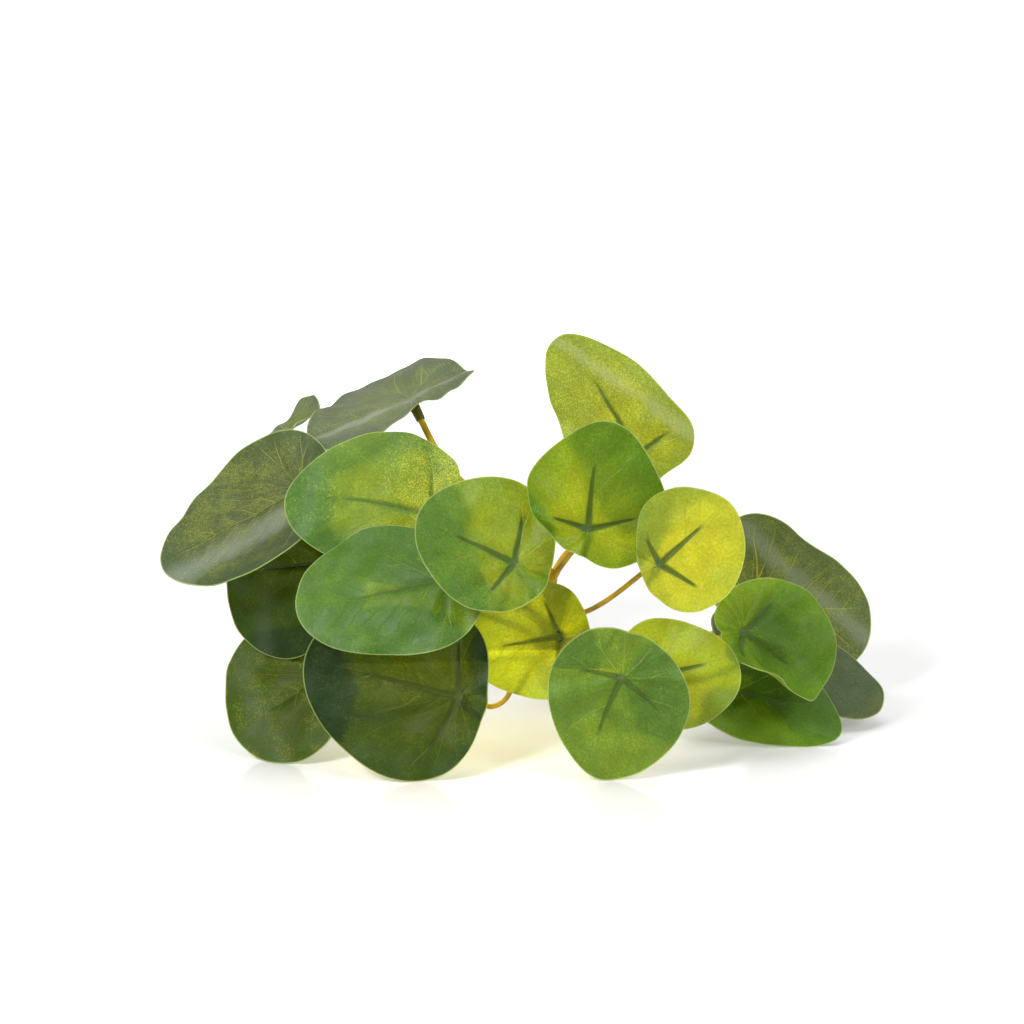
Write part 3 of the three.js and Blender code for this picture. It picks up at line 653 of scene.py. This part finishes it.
# one blade: a copy of the net, bent to its shape, printed on both sides and given its thickness
def makeLeaf(name, disc):
    bpy.ops.object.select_all(action="DESELECT")
    disc.select_set(True)
    bpy.context.view_layer.objects.active = disc
    bpy.ops.object.duplicate(linked=False)
    leaf = bpy.context.object
    leaf.name = leaf.data.name = "cloth_leaf_" + name
    points = np.empty(len(leaf.data.vertices) * 3)
    leaf.data.vertices.foreach_get("co", points)
    points = points.reshape(-1, 3)
    share = np.clip(np.hypot(points[:, 0], points[:, 1]), 0, 1)
    angle = np.arctan2(points[:, 1], points[:, 0])
    placed = bladePoint(name, share, angle, clothRelief(name, share, angle) * smooth(0, 0.1, share))
    leaf.data.vertices.foreach_set("co", toSpray(name, placed).ravel())
    distance = share * rimDistance(name, angle)
    spots = np.stack([distance * np.cos(angle), distance * np.sin(angle), share], -1)
    leaf.data.attributes.new("blade", "FLOAT_VECTOR", "POINT").data.foreach_set("vector", spots.ravel())
    tone, changes = looks[name]
    look = {**cloth, **printsLitAndShaded[tone], **changes}
    for material in (clothMaterial("clothTop_" + name, look, int(name)),
                     clothMaterial("clothUnder_" + name, look, int(name), under=True), cutEdge):
        leaf.data.materials.append(material)
    wall = leaf.modifiers.new("thickness", "SOLIDIFY")
    wall.thickness, wall.offset = blade["thickness"] * mm, 0
    wall.material_offset, wall.material_offset_rim = 1, 2
    bpy.ops.object.modifier_apply(modifier=wall.name)
    bpy.ops.object.shade_smooth_by_angle(angle=smoothBelow)
    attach(leaf, "root")
    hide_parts("leaf_" + name)


cutEdge = cutEdgeMaterial()
disc = makeDisc()
for name in leaves:
    makeLeaf(name, disc)
bpy.data.objects.remove(disc)
print("leaves: 19 printed cloth blades")


ribFinish = {"shade": (34, 62, 40), "light": (52, 84, 56), "cloud": 60, "pits": 1500, "bump": 0.35,
             "rough": 0.45, "gloss": 0.3}
sleeveFinish = {**ribFinish, "shade": (86, 84, 26), "light": (112, 106, 34)}

# millimetres; sunk: how deep the ribs sit in the back of the cloth. hubAt: heights of its three radii.
# lean: how far the socket leans. sleeveFrom: how far along the socket its olive part starts
ribs = {"halfWidths": (1.4, 1.1, 0.6), "roundness": 0.95, "sunk": 0.08, "hubAt": (0.1, 0.7, 3.0),
        "hubRadii": (2.6, 3.0, 2.7), "socketStart": 2.4, "socketLength": 9.0,
        "socketRadii": (2.7, 2.25, 2.1), "lean": 0.7, "sleeveFrom": 0.8, "boreDepth": 7.0,
        "clearance": 0.35, "steps": 22, "socketSteps": 10, "grain": 0.34, "rounds": 4}


# a round rod of changing thickness along a way, as a closed mesh
def taperedRod(name, way, radii, sides=3):
    bpy.ops.object.select_all(action="DESELECT")
    bpy.ops.curve.primitive_nurbs_path_add(location=(0, 0, 0))
    rod = bpy.context.object
    rod.name = name
    rod.data.splines.clear()
    line = rod.data.splines.new("POLY")
    line.points.add(len(way) - 1)
    for point, place, radius in zip(line.points, way, radii):
        point.co = (*place, 1)
        point.radius = radius
    rod.data.bevel_depth = 1
    rod.data.bevel_resolution = sides
    rod.data.use_fill_caps = True
    bpy.ops.object.convert(target="MESH")
    rod = bpy.context.object
    bpy.ops.object.mode_set(mode="EDIT")
    bpy.ops.mesh.select_all(action="SELECT")
    bpy.ops.mesh.remove_doubles(threshold=1e-6)
    bpy.ops.mesh.normals_make_consistent(inside=False)
    bpy.ops.object.mode_set(mode="OBJECT")
    return rod


# several closed shapes melted into one moulding, with soft inner corners
def meltTogether(pieces, name, grain, rounds):
    bpy.ops.object.select_all(action="DESELECT")
    for piece in pieces:
        piece.select_set(True)
    bpy.context.view_layer.objects.active = pieces[0]
    bpy.ops.object.join()
    made = bpy.context.object
    made.name = made.data.name = name
    remesh = made.modifiers.new("melt", "REMESH")
    remesh.mode, remesh.voxel_size = "VOXEL", grain * mm
    bpy.ops.object.modifier_apply(modifier=remesh.name)
    soften = made.modifiers.new("soften", "SMOOTH")
    soften.factor, soften.iterations = 0.5, rounds
    bpy.ops.object.modifier_apply(modifier=soften.name)
    bpy.ops.object.shade_smooth()
    return made


# the way in which a socket points, in the leaf's own axes: down, and towards where the petiole comes from
def neckOf(name):
    axes, at = leafAxes(name)
    last = Vector(leaves[name]["via"][-1]) if leaves[name]["via"] else rootOf[name]
    near = axes @ np.array(last - middle - Vector(at))
    neck = Vector((near[0], near[1], 0)).normalized() * ribs["lean"] + Vector((0, 0, -1))
    return neck.normalized()


# the main stem, from its cut end on the table to the crown
mainStem = {"points": [(30, 96, 3), (24, 74, 9), (14, 40, 26), (5, 4, 44), (5, -10, 54), (14, -14, 74)],
            "steps": 60, "radius": 2.9, "grain": 0.4, "rounds": 3}
stemWay = smoothWay(mainStem["points"], mainStem["steps"])


# how far each point of a way is from its start
def lengthsAlong(way):
    return np.concatenate([[0], np.cumsum([(b - a).length for a, b in zip(way, way[1:])])])


lengths = lengthsAlong(stemWay)


# the place and the direction at a share of the main stem's length
def onStem(share):
    place = share * lengths[-1]
    i = min(int(np.searchsorted(lengths, place, side="right")) - 1, len(stemWay) - 2)
    t = (place - lengths[i]) / (lengths[i + 1] - lengths[i])
    return stemWay[i].lerp(stemWay[i + 1], t), (stemWay[i + 1] - stemWay[i]).normalized()


rootOf = {name: onStem(leaf["root"])[0] for name, leaf in leaves.items()}
ribGreen = mouldedMaterial("ribGreen", ribFinish)
sleeveOlive = mouldedMaterial("sleeveOlive", sleeveFinish)


# one moulding: three keels under the cloth, a hub and a socket
def makeRibs(name):
    top = ribs["sunk"]
    parts = []
    for line in (0, blade["sideRibs"], -blade["sideRibs"]):
        shares = np.linspace(0, blade["ribReach"], ribs["steps"])
        t = shares / blade["ribReach"]
        width = np.interp(t, (0, 0.5, 1), ribs["halfWidths"])
        radius = width * ribs["roundness"]
        angle = np.full_like(shares, math.radians(line))
        back = clothRelief(name, shares, angle) * smooth(0, 0.1, shares)
        way = bladePoint(name, shares, angle, back + top - radius)
        parts.append(taperedRod("keel", toSpray(name, way), radius * mm, 2))
    hub = np.array([(0, 0, top - depth) for depth in ribs["hubAt"]])
    parts.append(taperedRod("hub", toSpray(name, hub), [radius * mm for radius in ribs["hubRadii"]], 4))
    neck = neckOf(name)
    start = Vector((0, 0, -ribs["socketStart"]))
    steps = np.linspace(0, 1, ribs["socketSteps"])
    way = np.array([start + neck * (ribs["socketLength"] * s) for s in steps])
    radii = np.interp(steps, (0, 0.85, 1), ribs["socketRadii"]) * mm
    parts.append(taperedRod("socket", toSpray(name, way), radii, 4))
    made = meltTogether(parts, "moulded_rib_" + name, ribs["grain"], ribs["rounds"])
    made.data.materials.clear()
    made.data.materials.append(ribGreen)
    made.data.materials.append(sleeveOlive)
    axes, at = leafAxes(name)
    near = np.array([face.center for face in made.data.polygons]) / mm - at
    sleeve = (near @ axes[2] < -ribs["socketStart"] - ribs["sleeveFrom"]).astype(int)
    made.data.polygons.foreach_set("material_index", sleeve)
    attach(made, "root")
    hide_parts("rib_" + name)


for name in leaves:
    makeRibs(name)
print("ribs: 19 mouldings of three keels, a hub and a socket")


stemFinish = {"shade": (156, 122, 2), "light": (194, 160, 6), "cloud": 45, "pits": 1500, "bump": 0.35,
              "rough": 0.5, "gloss": 0.3}

# millimetres; lead: how far a petiole runs on before it turns. straight: how many of its points it passes
petioles = {"radius": 1.15, "radii": {"03": 1.55, "12": 1.4}, "rootRadius": 2.1, "thinnedAt": (9, 16),
            "flare": 0.35, "lead": 12, "leads": {"13": 3, "12": 3}, "straight": {"13": 1, "12": 0},
            "rise": 0.7, "steps": 24, "tip": 3, "foot": 13, "footSkin": 0.15}


# from the main stem through the points of the table into the socket
def petioleWay(name):
    leaf = leaves[name]
    root, tangent = onStem(leaf["root"])
    axes, at = leafAxes(name)
    neck = neckOf(name)
    way = Vector(np.array(neck) @ axes)
    inside = ribs["socketLength"] - ribs["boreDepth"] + ribs["clearance"]
    end = Vector((0, 0, -ribs["socketStart"])) + neck * inside
    end = Vector(np.array(end) @ axes + at) + middle
    mouth = end + way * ribs["boreDepth"]
    others = [Vector(p) for p in leaf["via"]]
    leave = ((others[0] if others else mouth) - root).normalized() + tangent * petioles["rise"]
    leave.normalize()
    lead = petioles["leads"].get(name, petioles["lead"])
    if name in petioles["straight"]:
        others, leave = others[:petioles["straight"][name]], (mouth - root).normalized()
    points = [root, root + leave * lead, *others, mouth + way * lead, mouth]
    return smoothWay(points, petioles["steps"]) + [end + way * petioles["tip"]]


def placed(way):
    return [(point - middle) * mm for point in way]


# each petiole is a piece of its own; its foot is melted into the main stem
stemOchre = mouldedMaterial("stemOchre", stemFinish)
feet = []
for name in leaves:
    way = petioleWay(name)
    reach = lengthsAlong(way)
    radius = petioles["radii"].get(name, petioles["radius"])
    radii = np.interp(reach, (0, *petioles["thinnedAt"]),
                      (petioles["rootRadius"], radius + petioles["flare"], radius))
    made = taperedRod("petiole_" + name, placed(way), radii * mm, 4)
    made.data.name = made.name
    bpy.ops.object.shade_smooth_by_angle(angle=smoothBelow)
    made.data.materials.append(stemOchre)
    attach(made, "root")
    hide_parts("stem")
    foot = int(np.sum(reach < petioles["foot"]))
    feet.append(taperedRod("foot", placed(way[:foot]), (radii[:foot] + petioles["footSkin"]) * mm, 4))
trunk = taperedRod("trunk", placed(stemWay), [mainStem["radius"] * mm] * len(stemWay), 6)
stem = meltTogether([trunk] + feet, "main_stem", mainStem["grain"], mainStem["rounds"])
stem.data.materials.clear()
stem.data.materials.append(stemOchre)
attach(stem, "root")
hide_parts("stem")
print("stem: one main stem and 19 petioles")


# lights: place in metres, watts, size. front and back: how bright the tent is before and behind the spray
studio = {"key": ((-0.2, 1.8, 0.3), 62, 0.16), "top": ((0.1, -0.1, 1.6), 14, 1.2),
          "left": ((-0.7, -1.0, 0.9), 24, 0.34), "right": ((0.8, -0.9, 0.7), 9, 0.4),
          "bounce": ((-0.02, -0.04, 0.05), 0.06, 0.12), "bounceTint": (1, 0.82, 0.12),
          "front": 0.1, "back": 1.02, "table": 1.3, "tableTints": ((200, 200, 200), (204, 204, 204)),
          "aim": (-0.0075, 0.0004, 0.101), "from": (-0.0075, -1.369, 0.3921), "lens": 109.4, "sensor": 36}

bpy.ops.object.select_all(action="DESELECT")
bpy.ops.mesh.primitive_circle_add(vertices=96, radius=studio["table"], fill_type="NGON",
                                  location=(0, 0, 0))
floor = bpy.context.object
floor.name = "tableTop"
material, tree = newMaterial("tableWhite")
place = node(tree, "ShaderNodeTexCoord").outputs["Object"]
shade = blend(tree, noiseOf(tree, place, 3, 2.0), *(tint(*colour) for colour in studio["tableTints"]))
matt = node(tree, "ShaderNodeBsdfPrincipled", Base_Color=shade, Roughness=0.6)
node(tree, "ShaderNodeOutputMaterial", Surface=matt.outputs[0])
floor.data.materials.append(material)

# a white tent: brighter behind the spray, so that the light comes through the leaves, and white below
# the table's far edge
world = bpy.data.worlds.new("studioWhite")
bpy.context.scene.world = world
world.use_nodes = True
tree = world.node_tree
tree.nodes.clear()
sky = node(tree, "ShaderNodeTexCoord").outputs["Generated"]
way = node(tree, "ShaderNodeSeparateXYZ", Vector=sky).outputs
light = ramp(tree, way[1], -0.3, 0.5, studio["front"], studio["back"])
light = calc(tree, "MAXIMUM", light, ramp(tree, way[2], -0.02, -0.005, 1.05, 0.0))
tent = node(tree, "ShaderNodeBackground", Color=(1, 1, 1, 1), Strength=light)
node(tree, "ShaderNodeOutputWorld", Surface=tent.outputs[0])


def softLight(name, lamp):
    place, power, size = lamp
    aim = Vector(studio["aim"])
    turn = (aim - Vector(place)).to_track_quat("-Z", "Y").to_euler()
    bpy.ops.object.light_add(type="AREA", location=place, rotation=turn)
    light = bpy.context.object
    light.name = name
    light.data.energy = power
    light.data.size = size
    light.visible_camera = False
    return light


softLight("keyBehind", studio["key"]).visible_glossy = False
softLight("topLight", studio["top"])
softLight("fillInFront", studio["left"])
softLight("fillRight", studio["right"])

# light that the yellow leaves throw on the table under them
bounce = softLight("bounceUnder", studio["bounce"])
bounce.rotation_euler, bounce.data.color, bounce.visible_glossy = (0, 0, 0), studio["bounceTint"], False

place, aim = Vector(studio["from"]), Vector(studio["aim"])
bpy.ops.object.camera_add(location=place, rotation=(aim - place).to_track_quat("-Z", "Y").to_euler())
camera = bpy.context.object
camera.data.lens, camera.data.sensor_width = studio["lens"], studio["sensor"]
bpy.context.scene.camera = camera
bpy.context.scene.view_settings.view_transform = "Standard"
bpy.context.view_layer.update()

print("table, light and camera are in place")
